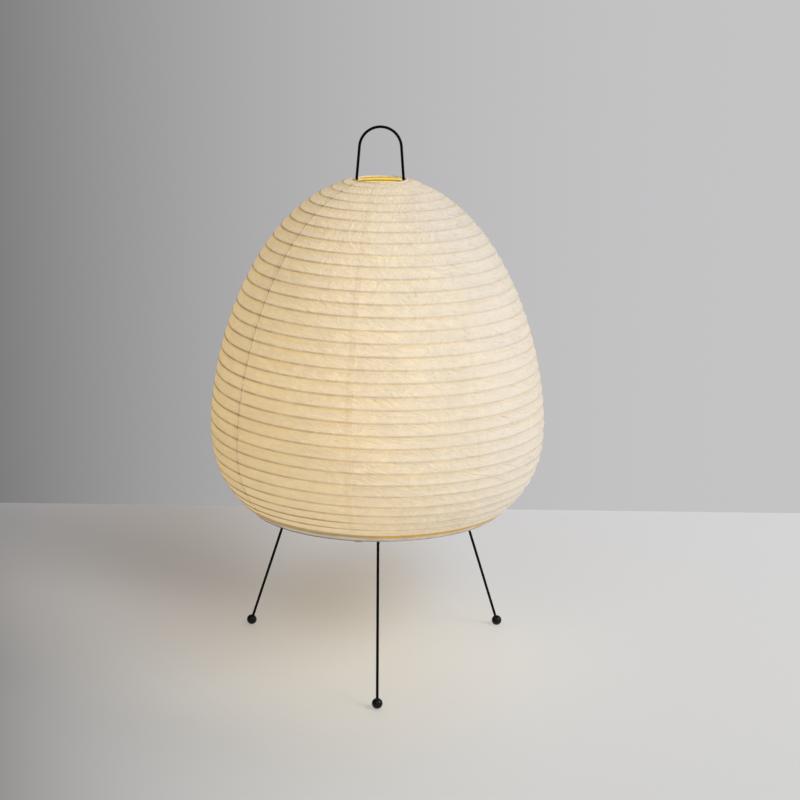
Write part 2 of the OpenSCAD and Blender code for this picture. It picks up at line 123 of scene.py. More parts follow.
class Graph:
    def __init__(self, name):
        self.material = bpy.data.materials.new(name)
        self.material.use_nodes = True
        self.tree = self.material.node_tree
        self.surface = self.tree.nodes["Principled BSDF"]

    def node(self, kind, settings=None, inputs=None, output=0):
        made = self.tree.nodes.new("ShaderNode" + kind)
        for key, value in (settings or {}).items():
            if key == "stops":
                while len(made.color_ramp.elements) < len(value):
                    made.color_ramp.elements.new(0.5)
                for stop, (place, colour) in zip(made.color_ramp.elements, value):
                    stop.position = place
                    stop.color = (*colour, 1)
            else:
                setattr(made, key, value)
        for key, value in (inputs or {}).items():
            self.feed(made.inputs[key], value)
        return Value(self, made.outputs[output])

    def feed(self, socket, value):
        if isinstance(value, Value):
            self.tree.links.new(value.socket, socket)
        elif socket.type == "RGBA" and len(value) == 3:
            socket.default_value = (*value, 1)
        else:
            socket.default_value = value

    def set(self, **inputs):
        for key, value in inputs.items():
            self.feed(self.surface.inputs[key.replace("_", " ")], value)
        return self.material

    def place(self, stretch=(1, 1, 1)):  # object coordinates
        return self.node("Mapping", {}, {"Vector": self.node("TexCoord", output=3), "Scale": stretch})

    def parts(self, vector):
        made = self.node("SeparateXYZ", {}, {0: vector})
        return [Value(self, socket) for socket in made.socket.node.outputs]

    def dot(self, first, second):
        return self.node("VectorMath", {"operation": "DOT_PRODUCT"}, {0: first, 1: second}, "Value")

    def stretched(self, at, stretch, turn=0):  # turned first, then scaled; a stretch of 0 flattens
        size = tuple(1 / s if s else 1e6 for s in stretch)
        inputs = {"Vector": at, "Rotation": (0, 0, turn), "Scale": size}
        return self.node("Mapping", {"vector_type": "TEXTURE"}, inputs)

    def patch(self, at, centre, size, turn):  # 1 at the centre of an ellipse, 0 from its edge on
        inputs = {"Vector": at, "Location": (*centre, 0), "Rotation": (0, 0, turn), "Scale": (*size, 1)}
        near = self.node("Mapping", {"vector_type": "TEXTURE"}, inputs)
        return self.node("VectorMath", {"operation": "LENGTH"}, {0: near}, "Value").fade(1, 0)

    def scaled(self, colour, amount):
        return self.node("VectorMath", {"operation": "SCALE"}, {0: colour, "Scale": amount})

    def noise(self, at, scale, detail=3, roughness=0.5, distortion=0):
        inputs = {"Vector": at, "Scale": scale, "Detail": detail}
        inputs.update({"Roughness": roughness, "Distortion": distortion})
        return self.node("TexNoise", {}, inputs)

    def mix(self, share, first, second):  # colours
        return self.node("Mix", {"data_type": "RGBA"}, {"Factor": share, 6: first, 7: second}, 2)

    def ramp(self, share, *stops):
        return self.node("ValToRGB", {"stops": stops}, {0: share})

    def bump(self, height, strength, distance):
        return self.node("Bump", {}, {"Height": height, "Strength": strength, "Distance": distance})

    def attribute(self, name):
        return self.node("Attribute", {"attribute_name": name}, output="Fac")


# Outline of the shade: two rounded curves that meet at the widest level, from the top pole down
egg = {
    "widest": 0.175, "wideLevel": 0.258, "crownHeight": 0.2568, "crownPeak": 1.72, "crownFlank": 2.17,
    "baseDepth": 0.1225, "baseFullness": 2.38, "pole": 90, "lowest": -80, "step": 0.5, "slopeReach": 2 * mm,
}


def eggPoint(angle):  # radius and level: 90 is the top pole, 0 the widest level
    a = math.radians(abs(angle))
    if angle >= 0:
        radius = egg["widest"] * max(math.cos(a), 0) ** (2 / egg["crownFlank"])
        return radius, egg["wideLevel"] + egg["crownHeight"] * math.sin(a) ** (2 / egg["crownPeak"])
    radius = egg["widest"] * math.cos(a) ** (2 / egg["baseFullness"])
    return radius, egg["wideLevel"] - egg["baseDepth"] * math.sin(a) ** (2 / egg["baseFullness"])


outlineSteps = round((egg["pole"] - egg["lowest"]) / egg["step"])
outline = [eggPoint(egg["pole"] - egg["step"] * i) for i in range(outlineSteps + 1)]
outlineArc = [0]
for (r0, z0), (r1, z1) in zip(outline, outline[1:]):
    outlineArc.append(outlineArc[-1] + math.hypot(r1 - r0, z1 - z0))


def outlinePoint(s):  # radius and level at s, the way along the outline from the top pole
    i = min(max(bisect_right(outlineArc, s) - 1, 0), len(outline) - 2)
    share = (s - outlineArc[i]) / (outlineArc[i + 1] - outlineArc[i])
    (r0, z0), (r1, z1) = outline[i], outline[i + 1]
    return r0 + (r1 - r0) * share, z0 + (z1 - z0) * share


def sunkPoint(s, depth):  # the outline's point at s, sunk into the shade
    r0, z0 = outlinePoint(s - egg["slopeReach"])
    r1, z1 = outlinePoint(s + egg["slopeReach"])
    length = math.hypot(r1 - r0, z1 - z0)
    radius, level = outlinePoint(s)
    return radius + (z1 - z0) / length * depth, level - (r1 - r0) / length * depth


# Paper and the rib's course, as the frame has them; rows are shares of the way between two turns
paper = {
    "start": 28.627 * mm, "end": 430.044 * mm, "pitch": 12.88 * mm, "tighten": 2.35 * mm, "tightenPower": 7,
    "turns": 32, "sag": 1.1 * mm, "sagFullness": 1.7, "thickness": 0.22 * mm, "gores": 8, "seamTurn": -11,
    "lap": 5.5 * mm, "lapStart": 0.6 * mm, "lapRise": 0.16 * mm, "columns": 40, "lapColumns": 3,
    "rows": (0, 0.035, 0.09, 0.18, 0.3, 0.43, 0.57, 0.7, 0.82, 0.91, 0.965),
    "waver": 0.55 * mm, "waverPace": 2.3, "waverSeed": (4.2, 0.7), "swell": 1.0 * mm, "swellWidth": 17 * mm,
    "taut": 0.3, "tautReach": 130 * mm, "heldEdge": 4 * mm, "leastRadius": 0.02, "flatRadius": 0.12,
}
wrinkles = {  # cells per metre across and along, seed, height in millimetres
    "long": (150, 190, 0, 0.32), "short": (420, 90, 3, 0.16), "fullness": 0.7, "goreSeed": 7.3,
}


def ribArc(turn):  # where the rib is on the outline after that many turns
    power = paper["tightenPower"]
    drawn = paper["tighten"] * paper["turns"] / power * abs(turn / paper["turns"]) ** power
    return paper["start"] + paper["pitch"] * turn - drawn


def waver(turn):  # how far the hand-wound rib strays from its even course
    calm = min(max(min(turn, paper["turns"] - turn), 0), 1)
    return paper["waver"] * calm * noise.noise(Vector((turn * paper["waverPace"], *paper["waverSeed"])))


def swelling(s):  # the paper stands up a little beside the rim
    share = (s - paper["start"]) / paper["swellWidth"]
    return paper["swell"] * math.sin(math.pi * share) if 0 < share < 1 else 0


def wrinkled(across, s, seed, kind):
    wide, tall, shift, height = wrinkles[kind]
    return noise.noise(Vector((across * wide, s * tall, seed + shift))) * height * mm


def swing(radius, level, fromFront):  # fromFront: degrees from the front leg, counter-clockwise from above
    a = math.radians(fromFront - 90)
    return Vector((radius * math.cos(a), radius * math.sin(a), level))


# Adds a grid of that many cells and lays it on a surface: place gives the point for u and v from 0 to 1,
# and the values of its attributes there
def laidGrid(name, columns, rows, place, attributes=()):
    bpy.ops.mesh.primitive_grid_add(x_subdivisions=columns, y_subdivisions=rows, size=2, calc_uvs=True)
    piece = bpy.context.object
    piece.name = piece.data.name = name
    mesh = piece.data
    for key in attributes:
        mesh.attributes.new(key, "FLOAT", "POINT")
    layers = {key: mesh.attributes[key].data for key in attributes}
    for vertex in mesh.vertices:
        u, v = (vertex.co.x + 1) / 2, (1 - vertex.co.y) / 2
        spot, values = place(u, v)
        vertex.co = spot
        for key, value in values.items():
            layers[key][vertex.index].value = value
    return piece


def pick(piece):  # the only piece that the next operators work on
    bpy.ops.object.select_all(action="DESELECT")
    bpy.context.view_layer.objects.active = piece
    piece.select_set(True)


def editMesh(piece, *steps):  # runs edit mode operators on the whole mesh
    pick(piece)
    bpy.ops.object.mode_set(mode="EDIT")
    bpy.ops.mesh.select_all(action="SELECT")
    for operator, settings in steps:
        operator(**settings)
    bpy.ops.object.mode_set(mode="OBJECT")


mergeDoubles = (bpy.ops.mesh.remove_doubles, {"threshold": 1e-6})
normalsOut = (bpy.ops.mesh.normals_make_consistent, {"inside": False})


def useModifier(piece, kind, **settings):
    pick(piece)
    made = piece.modifiers.new(kind, kind)
    for key, value in settings.items():
        setattr(made, key, value)
    bpy.ops.object.modifier_apply(modifier=made.name)


def smooth(piece):
    pick(piece)
    bpy.ops.object.shade_smooth_by_angle(angle=math.radians(50))


def finishPiece(piece, body, material, node):
    bpy.ops.object.select_all(action="DESELECT")
    piece.data.materials.clear()
    piece.data.materials.append(material)
    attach(piece, body)
    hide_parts(node)


# Paper: thin fibre paper lit from inside, its light a painted glow, with painted shade where the rib or a second
# layer lies behind it
glow = {
    "heights": (  # from the rim to the hem
        (0, (0.50, 0.365, 0.19)), (0.25, (0.55, 0.395, 0.184)), (0.6, (0.58, 0.394, 0.146)),
        (0.8, (0.525, 0.346, 0.106)), (1, (0.44, 0.283, 0.071)),
    ),
    "lineTint": (0.45, 0.425, 0.42), "haloTint": (1.0, 0.915, 0.56), "lowLine": (0.20, 0.105, 0.022),
    # inside: painted glow on the inner faces; litSide: share of the painted glow kept on the key light's side
    "inside": (0.32, 0.26, 0.085), "level": 0.92, "litSide": 0.50,
}
# Painted shadow of the rib in the paper and painted glow below it: strengths of the shadow, and reaches in turns
# from the rib
ribShadeAndGlow = {
    "lit": 0.29, "front": 0.36, "farLeft": 0.36, "low": 0.22,  # strength on the lit side, and what adds to it
    "steady": 0.62,  # share of the strength that doesn't vary along the rib
    "reach": (0.125, 0.03), "halo": (0.40, 0.05), "golden": (0.62, 0.12),  # in turns from the rib
}
# The paper's own tones, a painted highlight towards the key light, painted gold glow, painted shade of the rib, of
# the laps and of the seams, and painted light on the inner faces
sheetColours = {
    "thin": (0.71, 0.69, 0.64), "thick": (0.78, 0.76, 0.71), "lit": (0.80, 0.79, 0.765),
    "golden": (0.755, 0.675, 0.50), "line": (0.41, 0.345, 0.285), "lowLine": (0.40, 0.28, 0.15),
    "seam": (0.46, 0.37, 0.26), "inside": (0.76, 0.70, 0.36),
}
grain = {  # cells per metre across and along the sheet, turn in radians, detail, roughness, distortion
    "streaks": (25, 210, 0.04, 3, 0.6, 0), "golden": (17, 400, 0.03, 2, 0.5, 0),
    "fibres": (220, 800, 0.35, 4, 0.7, 0), "leaf": (52, 150, 0.36, 3, 0.55, 0.8),
    "cross": (70, 120, -0.9, 3, 0.55, 0.8), "stroke": (26, 75, 0.5, 1, 0.5, 0),
}
patches = {  # cells per metre, detail, roughness
    "clouds": (26, 3, 0.55), "crumpled": (38, 2, 0.5), "mottle": (150, 3, 0.6), "uneven": (34, 3, 0.65),
}
# Shares of each pattern in the painted light and shade of the paper's glow
shadeShares = {"clouds": 0.22, "creases": 0.75, "fibres": 0.75, "streaks": 0.4, "mottle": 0.45, "fold": 0.04}
relief = {"depth": 1.95 * mm, "fibres": 0.14, "streaks": 0.5, "mottle": 0.12}


def aroundAxis(g):  # 1 towards +X, where the key light stands, -1 away from it
    x, y, _ = g.parts(g.node("TexCoord", output=3))
    return x / (x ** 2 + y ** 2 + 1e-6).math("SQRT")


def facesIn(g):  # 1 where a face looks at the axis
    outward = g.stretched(g.node("TexCoord", output=3), (1, 1, 0))
    return g.dot(g.node("TexCoord", output=1), outward).fade(0.001, -0.001)


def tinted(stops, tint):
    return [(place, tuple(c * t for c, t in zip(colour, tint))) for place, colour in stops]


def grained(g, flat, kind):
    across, along, turn, detail, roughness, distortion = grain[kind]
    return g.noise(g.stretched(flat, (across, along, 1), turn), 1, detail, roughness, distortion)


# The rib's painted shadow in the paper, strongest in front and at the far left, away from the key light
def ribShadow(g, along, around, toRib, low, streaks):  # fainter near the rim, broken low on the left
    uneven = g.noise(g.place((1, 1, 4)), *patches["uneven"]).fade(0.35, 0.62)
    strength = ribShadeAndGlow["lit"] + ribShadeAndGlow["front"] * around.fade(0.6, -0.6)
    strength = strength + ribShadeAndGlow["farLeft"] * around.fade(-0.4, -1.0) + ribShadeAndGlow["low"] * low
    steady = ribShadeAndGlow["steady"]
    line = toRib.fade(*ribShadeAndGlow["reach"]) * (steady + (1 - steady) * uneven) * strength
    return line * (1 - 0.45 * low * streaks.fade(0.6, 0.42)) * (0.5 + 0.5 * along.fade(0, 0.12))


# Painted shade where each lap ends, on the left away from the key light, darker where it crosses the rib
def lapEdgeShade(lap, around, toRib):  # the edges of the laps, seen on the left, darker where they cross the rib
    lapEdge = abs(lap - paper["lap"] * 0.9).fade(1.7 * mm, 0.5 * mm)
    panelEdge = abs(lap).fade(0.7 * mm, 0.2 * mm)
    edgeShade = lapEdge.math("MAXIMUM", 0.4 * panelEdge) * around.fade(-0.05, -0.75)
    return edgeShade * (0.75 + 0.6 * toRib.fade(0.25, 0.08))


def paperCreases(g, flat):  # two kinds of short creases, each in its own patches, and a few long strokes
    crumpled = g.noise(flat, *patches["crumpled"])
    leaf = abs(grained(g, flat, "leaf") - 0.5) * 1.5 * crumpled.fade(0.3, 0.6)
    cross = abs(grained(g, flat, "cross") - 0.5) * 1.2 * crumpled.fade(0.66, 0.4)
    stroke = 0.16 * abs(grained(g, flat, "stroke") - 0.5).fade(0.03, 0) * crumpled.fade(0.5, 0.62)
    return leaf + cross - stroke


def paperMaterial():
    g = Graph("shadePaper")
    flat = g.node("UVMap", {"uv_map": "sheet"})
    lap, turn, along = g.attribute("lap"), g.attribute("turn"), g.attribute("along")
    around = aroundAxis(g)
    side = around.fade(-0.35, 0.95)
    low = along.fade(0.86, 0.97) * around.fade(0.1, -0.5)
    phase = turn.math("FRACT")  # 0 at the rib's turn above, 1 at the one below
    toRib = phase.math("MINIMUM", 1 - phase) - 0.05 * low

    streaks, fibres = grained(g, flat, "streaks"), grained(g, flat, "fibres")
    clouds, mottle = g.noise(flat, *patches["clouds"]), g.noise(flat, *patches["mottle"])
    creases = paperCreases(g, flat)
    fold = g.node("CombineXYZ", {}, {0: turn.math("FLOOR"), 1: g.attribute("gore")})
    foldTone = g.node("TexWhiteNoise", {"noise_dimensions": "2D"}, {"Vector": fold})

    line = ribShadow(g, along, around, toRib, low, streaks)
    # Painted glow just below each rib: a gold halo and longer gold streaks
    halo = phase.fade(*ribShadeAndGlow["halo"]) * phase.fade(0, 0.03) * (0.6 + 0.6 * streaks.fade(0.38, 0.62))
    golden = grained(g, flat, "golden").fade(0.53, 0.66)
    golden = golden * phase.fade(*ribShadeAndGlow["golden"]) * phase.fade(0, 0.05)
    halo = halo.math("MAXIMUM", golden)
    edgeShade = lapEdgeShade(lap, around, toRib)
    # Painted shade where two layers of paper lap, none on the key light's side
    seam = lap.fade(0, 0.3 * mm) * (1 - side)

    share = shadeShares
    shades = share["clouds"] * (clouds - 0.5) + share["creases"] * (creases - 0.18)
    shades = shades + share["fibres"] * (fibres - 0.5) + share["streaks"] * (streaks - 0.5)
    shades = shades + share["mottle"] * (mottle - 0.5)
    # The painted glow varies with the paper's clouds, creases, fibres, streaks and mottle, more strongly on the
    # left
    light = glow["level"] + shades * (0.5 + 0.5 * around.fade(-0.75, 0.1))
    light = light + share["fold"] * (foldTone - 0.5)
    # The painted glow is dimmer on the key light's side, less so near the rim
    light = light * (1 - (1 - glow["litSide"]) * side * along.fade(-0.1, 0.2))
    light = light * (1 - 0.03 * seam) * (1 - 0.45 * edgeShade)

    heights = glow["heights"]
    warm = g.mix(halo, g.ramp(along, *heights), g.ramp(along, *tinted(heights, glow["haloTint"])))
    # Painted shade of the rib in the glow, browner low on the left
    warm = g.mix(line, warm, g.ramp(along, *tinted(heights, glow["lineTint"])))
    warm = g.mix(low * line, warm, glow["lowLine"])
    base = g.mix(clouds, sheetColours["thin"], sheetColours["thick"])
    # Painted highlight on the key light's side
    base = g.mix(around.fade(0.3, 1.0), base, sheetColours["lit"])
    # Painted gold glow in the paper's colour
    base = g.mix(golden * 0.85, base, sheetColours["golden"])
    # Painted shade of the rib in the paper's colour
    base = g.mix(line, base, sheetColours["line"])
    base = g.mix(low * line, base, sheetColours["lowLine"])
    base = g.mix((seam * 0.1).math("MAXIMUM", edgeShade * 0.5), base, sheetColours["seam"])
    # Painted light of the bulb on the inner faces: a gold colour and a gold glow
    inside = facesIn(g)
    warm = g.mix(inside, g.scaled(warm, light), glow["inside"])
    base = g.mix(inside, base, sheetColours["inside"])
    height = creases + fibres * relief["fibres"] + streaks * relief["streaks"] + mottle * relief["mottle"]
    return g.set(
        Base_Color=base, Roughness=0.82, Emission_Color=warm, Emission_Strength=1.0,
        Specular_IOR_Level=0.25, Normal=g.bump(height, 1.0, relief["depth"]),
    )


def goreSpot(index):  # the point and the attributes at a place on one gore, and its number of rows
    width = 360 / paper["gores"]
    first = paper["seamTurn"] + width * index
    rows = [n + f for n in range(-1, paper["turns"]) for f in paper["rows"]] + [paper["turns"]]
    panel = paper["columns"] - paper["lapColumns"] - 1
    lapStep = paper["lap"] / paper["lapColumns"]
    seed = wrinkles["goreSeed"] * index

    def spot(u, v):
        count = rows[round(v * (len(rows) - 1))]
        turnGuess = count + (first + width * u) / 360
        radius = max(outlinePoint(max(ribArc(turnGuess), paper["start"]))[0], paper["leastRadius"])
        column = round(u * paper["columns"])
        if column < panel:
            angle = first + width * column / panel
        elif column == panel:  # the lap starts to rise just before the next gore's edge
            angle = first + width - math.degrees(paper["lapStart"] / radius)
        else:
            angle = first + width + math.degrees((column - panel - 1) * lapStep / radius)
        turn = count + angle / 360
        phase = (turn - angle / 360) % 1
        strayed = (1 - phase) * waver(turn - phase) + phase * waver(turn - phase + 1)
        s = min(max(ribArc(turn) + strayed, paper["start"]), paper["end"])
        across = math.radians(angle) * paper["flatRadius"]
        wrinkle = wrinkled(across, s, seed, "long") + wrinkled(across, s, seed, "short")
        wrinkle *= math.sin(math.pi * phase) ** wrinkles["fullness"]
        bow = 1 - abs(2 * phase - 1) ** paper["sagFullness"]
        slack = paper["taut"] + (1 - paper["taut"]) * min((s - paper["start"]) / paper["tautReach"], 1)
        free = min(min(s - paper["start"], paper["end"] - s) / paper["heldEdge"], 1)
        depth = (paper["sag"] * slack * bow + wrinkle) * free
        beyond = (angle - first - width) * math.pi / 180 * radius
        rise = paper["lapRise"] * min(max((beyond + paper["lapStart"]) / paper["lapStart"], 0), 1)
        r, z = sunkPoint(s, depth - rise - swelling(s))
        along = (s - paper["start"]) / (paper["end"] - paper["start"])
        values = {"turn": count, "lap": beyond, "along": along, "across": across, "gore": index}
        return swing(r, z, angle), values

    return spot, len(rows) - 1


def sheetMap(piece):  # a flat map of the paper, in metres
    mesh = piece.data
    uvs = mesh.uv_layers[0]
    uvs.name = "sheet"
    across = mesh.attributes["across"].data
    along = mesh.attributes["along"].data
    length = paper["end"] - paper["start"]
    for loop in mesh.loops:
        vertex = loop.vertex_index
        uvs.data[loop.index].uv = (across[vertex].value, along[vertex].value * length)


def outwards(piece):  # turns the faces of an open sheet away from the axis
    face = max(piece.data.polygons, key=lambda f: f.area)
    if face.normal.x * face.center.x + face.normal.y * face.center.y < 0:
        editMesh(piece, (bpy.ops.mesh.flip_normals, {}))


# Folding: the top ring's level, and the share of the paper's height that would stay if it were pressed flat
# towards the top ring as far as the bottom ring rises
ringLevel = (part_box("top_ring")[0].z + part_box("top_ring")[1].z) / 2
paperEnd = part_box("paper_gore_1")[0].z
foldTravel = next(j for j in frame["joints"] if j["name"] == "shade_fold")["range_m"][1]
foldKeep = (ringLevel - (paperEnd + foldTravel)) / (ringLevel - paperEnd)


def paperGores():
    material = paperMaterial()
    attributes = ("turn", "lap", "along", "across", "gore")
    for index in range(paper["gores"]):
        spot, rows = goreSpot(index)
        gore = laidGrid(f"paperGore{index + 1}", paper["columns"], rows, spot, attributes)
        sheetMap(gore)
        editMesh(gore, mergeDoubles, normalsOut)
        outwards(gore)
        useModifier(gore, "SOLIDIFY", thickness=paper["thickness"], offset=-1)
        smooth(gore)
        finishPiece(gore, "shade", material, f"paper_gore_{index + 1}")
        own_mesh(gore)


paperGores()
print("paper gores laid on the rib")


# Rib: one split bamboo strip, wound from the rim to the hem
rib = {
    "leadIn": 0.4, "leadOut": 0.2, "depth": 1.25 * mm, "wide": 0.75 * mm, "thick": 0.6 * mm,
    "stepsPerTurn": 48, "sides": 8, "mapStretch": 60,
}


def bambooMaterial():
    g = Graph("splitBamboo")
    along = g.node("UVMap", {"uv_map": "strip"})
    streaks = g.noise(g.node("Mapping", {}, {"Vector": along, "Scale": (14, 900, 1)}), 4, 4, 0.6)
    dark, middle, light = (0.36, 0.22, 0.09), (0.62, 0.44, 0.21), (0.73, 0.56, 0.31)
    tone = g.ramp(streaks, (0.3, dark), (0.62, middle), (0.85, light))
    return g.set(Base_Color=tone, Roughness=0.45 + 0.2 * streaks, Normal=g.bump(streaks, 0.3, 0.1 * mm))


def spiralRib():
    turns = paper["turns"] - rib["leadIn"] - rib["leadOut"]
    steps = round(turns * rib["stepsPerTurn"])
    length = ribArc(paper["turns"])

    def spot(u, v):
        turn = rib["leadIn"] + turns * u
        s = ribArc(turn) + waver(turn)
        a = 2 * math.pi * v
        depth = rib["depth"] - rib["thick"] * math.cos(a) - swelling(s)
        r, z = sunkPoint(s + rib["wide"] * math.sin(a), depth)
        return swing(r, z, 360 * turn), {}

    strip = laidGrid("spiralRib", steps, rib["sides"], spot)
    strip.data.uv_layers[0].name = "strip"
    for loop in strip.data.uv_layers[0].data:
        loop.uv = (loop.uv.x * length * rib["mapStretch"], loop.uv.y * 2 * math.pi * rib["wide"])
    editMesh(
        strip, mergeDoubles, (bpy.ops.mesh.select_all, {"action": "DESELECT"}),
        (bpy.ops.mesh.select_non_manifold, {}), (bpy.ops.mesh.edge_face_add, {}),
        (bpy.ops.mesh.select_all, {"action": "SELECT"}), normalsOut,
    )
    smooth(strip)
    finishPiece(strip, "shade", bambooMaterial(), "spiral_rib")
    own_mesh(strip)


spiralRib()
print("rib wound")


# Hems: paper turned round the two rings. The attribute down runs from a band's upper edge, 0, over its
# outer face to the ring and up again behind it, 1
# The hem's own tones, with painted shade at the ring, painted light on the top hem and a painted gold glow at the
# band's upper edge
hemColours = {
    "ringBase": (0.22, 0.19, 0.12), "dark": (0.62, 0.59, 0.53), "pale": (0.80, 0.78, 0.73),
    "top": (0.88, 0.87, 0.86), "goldDim": (0.30, 0.205, 0.09), "goldBright": (0.34, 0.19, 0.03),
    "glow": (0.13, 0.085, 0.035), "glowDim": (0.20, 0.13, 0.05), "glowBright": (0.36, 0.20, 0.024),
}
topBand = {
    "columns": 160, "rows": 14, "inset": 0.12 * mm, "wobble": 0.14, "wobblePace": 260,
    "down": 0.55, "outer": 0.05,
}
bottomBand = {
    "width": 13.5 * mm, "start": 430.344 * mm, "thickness": 0.8 * mm, "edgeGap": 0.3 * mm, "columns": 420,
    "bandSteps": 8, "wrapSteps": 12, "wrapStart": 75, "wrapTurn": 210, "wireGap": 0.25 * mm,
    "innerStop": 2 * mm, "leanReach": 3 * mm, "ringDown": 0.8,
    "ripple": 0.45, "ripplePace": 95, "tail": 351.4, "tailWidth": 2.4, "tailDrop": 1.1 * mm,
}


def hemMaterial():
    g = Graph("hemPaper")
    at = g.place()
    fibres = g.noise(at, 900, 4, 0.6)
    clouds = g.noise(at, 70, 4, 0.6)
    ragged = g.noise(g.place((1, 1, 3)), 60, 3, 0.6)
    down = g.attribute("down")
    level = g.parts(at)[2]
    # Painted gold glow in the gap at the band's upper edge, brighter towards the key light
    bright = aroundAxis(g).fade(-0.22, 0.05)
    joint = (down + 0.1 * (ragged - 0.5)).fade(0.42, 0.22)
    # Painted shade where the band turns round the ring, on the left only; it also dims the hem's glow
    ring = down.fade(0.70, 0.82) * aroundAxis(g).fade(0, -0.3)
    gold = g.mix(bright, hemColours["goldDim"], hemColours["goldBright"])
    base = g.mix(clouds.fade(0.3, 0.7), hemColours["dark"], hemColours["pale"])
    # Painted light on the top hem, which faces up towards the lights
    base = g.mix(level.fade(0.4, 0.45), base, hemColours["top"])
    base = g.mix(ring * 0.75, base, hemColours["ringBase"])
    base = g.mix(joint * 0.92, base, gold)
    # The painted glow through the hem, dimmed at the ring on the left and on the top hem
    lit = g.mix(joint, hemColours["glow"], g.mix(bright, hemColours["glowDim"], hemColours["glowBright"]))
    light = (0.7 + 0.6 * clouds) * (1 - 0.8 * ring) * (1 - 0.4 * level.fade(0.3, 0.4))
    return g.set(
        Base_Color=base, Roughness=0.85, Emission_Color=g.scaled(lit, light), Emission_Strength=1.0,
        Specular_IOR_Level=0.25, Normal=g.bump(fibres * 0.3 + clouds, 0.8, 1.2 * mm),
    )


def topHem():
    low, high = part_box("top_hem")
    wrap = (high.z - low.z) / 2
    radius = (high.x - low.x) / 2 - wrap

    def spot(u, v):
        a = 2 * math.pi * v
        angle = 360 * u
        wobble = noise.noise(swing(radius, 0.3 * v, angle) * topBand["wobblePace"]) * topBand["wobble"] * mm
        size = wrap - topBand["inset"] + wobble
        down = topBand["down"] + topBand["outer"] * min(max(math.cos(a), 0), 1)
        return swing(radius + size * math.cos(a), ringLevel + size * math.sin(a), angle), {"down": down}

    ring = laidGrid("topHemPaper", topBand["columns"], topBand["rows"], spot, ("down",))
    editMesh(ring, mergeDoubles, normalsOut)
    smooth(ring)
    finishPiece(ring, "shade", hemPaper, "top_hem")


def bandProfile():  # down the outer face, round the ring and up the inner face: radius, level and down
    start, steps, wraps = bottomBand["start"], bottomBand["bandSteps"], bottomBand["wrapSteps"]
    end = start - bottomBand["edgeGap"] + bottomBand["width"]
    ringR, ringZ = sunkPoint(end, bottomBand["thickness"] / 2)
    wire = (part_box("bottom_ring")[1].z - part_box("bottom_ring")[0].z) / 2 + bottomBand["wireGap"]
    rim = outlinePoint(end)
    before = outlinePoint(end - bottomBand["leanReach"])
    lean = math.atan2(before[1] - rim[1], before[0] - rim[0])
    ringDown = bottomBand["ringDown"]
    profile = []
    for i in range(steps + 1):
        r, z = sunkPoint(start + (end - start) * i / steps, 0)
        profile.append((r, z, i / steps * ringDown))
    for i in range(1, wraps):
        a = lean - math.radians(bottomBand["wrapStart"] + bottomBand["wrapTurn"] * i / wraps)
        r, z = ringR + wire * math.cos(a), ringZ + wire * math.sin(a)
        profile.append((r, z, ringDown + (1 - ringDown) * i / wraps))
    for i in range(steps, -1, -1):
        s = start + (end - bottomBand["innerStop"] - start) * i / steps
        r, z = sunkPoint(s, bottomBand["thickness"])
        profile.append((r, z, 1))
    return profile


def bottomHem():
    profile = bandProfile()
    count = len(profile)

    def spot(u, v):
        r, z, down = profile[round(v * count) % count]
        angle = 360 * u
        ripple = noise.noise(swing(r, z, angle) * bottomBand["ripplePace"]) * bottomBand["ripple"] * mm
        r += ripple * min(1, 4 * down * (1 - down) + 0.3)
        offTail = angle - bottomBand["tail"]  # the paper's loose end hangs down a little
        if down > bottomBand["ringDown"] and abs(offTail) < bottomBand["tailWidth"]:
            z -= bottomBand["tailDrop"] * math.cos(offTail / bottomBand["tailWidth"] * math.pi / 2)
        return swing(r, z, angle), {"down": down}

    band = laidGrid("bottomHemPaper", bottomBand["columns"], count, spot, ("down",))
    editMesh(band, mergeDoubles, normalsOut)
    smooth(band)
    finishPiece(band, "shade_foot", hemPaper, "bottom_hem")


hemPaper = hemMaterial()
topHem()
bottomHem()
print("hems turned")


# Finishes of the frame's own pieces: each keeps the shape that the frame gives it
def paintedMetal(name, colour, roughness, sheen):
    g = Graph(name)
    at = g.place()
    skin = g.noise(at, 700, 3, 0.6)
    wear = g.noise(at, 90, 3, 0.55)
    worn = tuple(c * 1.6 + 0.001 for c in colour)
    return g.set(
        Base_Color=g.mix(wear, colour, worn), Roughness=roughness + 0.16 * (wear - 0.4),
        Specular_IOR_Level=sheen, Normal=g.bump(skin, 0.12, 0.06 * mm),
    )


def metal(name, colour, roughness):
    g = Graph(name)
    streaks = g.noise(g.place((1, 1, 8)), 420, 4, 0.6)
    spots = g.noise(g.place(), 120, 3, 0.5)
    dull = tuple(c * 0.82 for c in colour)
    return g.set(
        Base_Color=g.mix(spots, colour, dull), Metallic=1.0, Roughness=roughness + 0.18 * (streaks - 0.4),
        Normal=g.bump(streaks, 0.15, 0.05 * mm),
    )


def moulded(name, colour, roughness, grit=600):
    g = Graph(name)
    skin = g.noise(g.place(), grit, 3, 0.6)
    tone = g.noise(g.place(), 45, 2, 0.5)
    darker = tuple(c * 0.93 for c in colour)
    return g.set(
        Base_Color=g.mix(tone, colour, darker), Roughness=roughness + 0.12 * (skin - 0.5),
        Normal=g.bump(skin, 0.2, 0.05 * mm),
    )


def frosted(name):  # a lit bulb, a little dimmer towards its lower edge
    g = Graph(name)
    skin = g.noise(g.place(), 500, 2, 0.5)
    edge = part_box("bulb_diffuser")[0].z
    shine = 0.62 + 0.38 * g.parts(g.place())[2].fade(edge, edge + 22 * mm)
    lit = g.mix(skin, (0.98, 0.66, 0.30), (1.0, 0.70, 0.34))
    return g.set(
        Base_Color=g.mix(skin, (0.80, 0.78, 0.72), (0.84, 0.82, 0.76)), Roughness=0.5 + 0.1 * skin,
        Emission_Color=g.scaled(lit, shine), Emission_Strength=0.95,
    )


